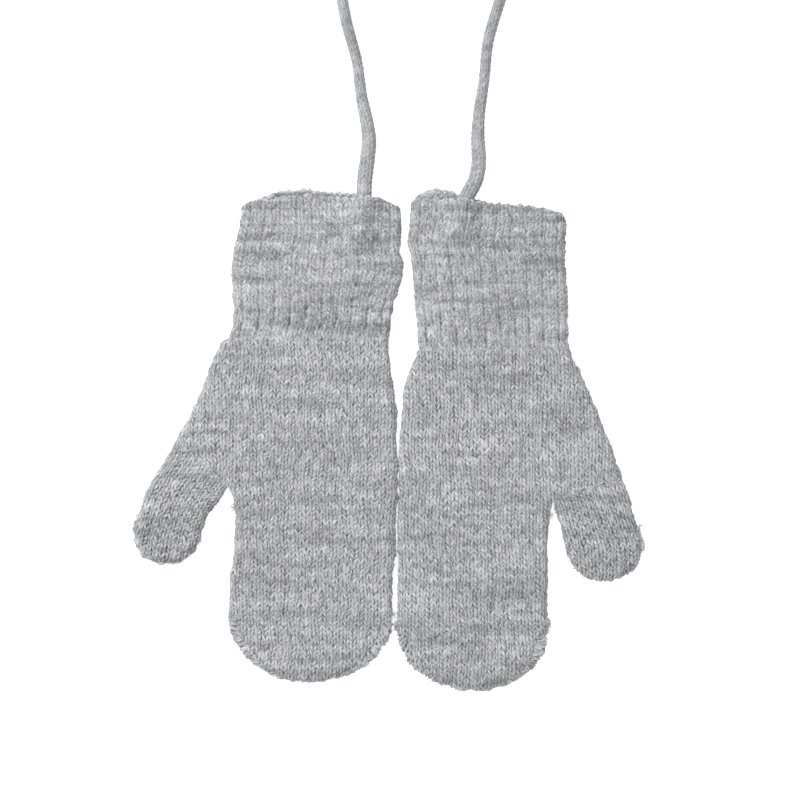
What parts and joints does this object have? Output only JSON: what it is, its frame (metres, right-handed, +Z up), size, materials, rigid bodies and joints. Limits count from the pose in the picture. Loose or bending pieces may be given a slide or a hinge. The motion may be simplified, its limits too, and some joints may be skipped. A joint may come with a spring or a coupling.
{
  "type": "pair of knitted mittens on a joining string",
  "caption": "Toddler's knitted mittens laid flat side by side, with ribbed cuffs, thumb gussets, overlocked tips and a knitted joining string, its spare length coiled.",
  "frame": {"origin": "on the surface that the mittens lie on, below the middle of the pair without its string", "axes": "+Z up from the surface, +Y from the finger tips toward the cuffs, +X toward the right mitten as seen from above"},
  "size_m": [0.1654, 0.2954, 0.0099],
  "materials": {
    "plain_knit": "light grey melange stockinette knit",
    "rib_knit": "light grey melange ribbed knit",
    "overlock_thread": "grey overlocking thread over knit",
    "knitted_string": "light grey narrow knitted tube"
  },
  "bodies": {
    "root": {"left_cuff": "rib_knit", "right_cuff": "rib_knit", "left_hand": "plain_knit", "right_hand": "plain_knit", "left_thumb": "plain_knit", "right_thumb": "plain_knit", "left_hand_seam": "overlock_thread", "right_hand_seam": "overlock_thread", "left_thumb_seam": "overlock_thread", "right_thumb_seam": "overlock_thread", "string_left": "knitted_string", "string_right": "knitted_string", "string_coil": "knitted_string"}
  },
  "joints": []
}
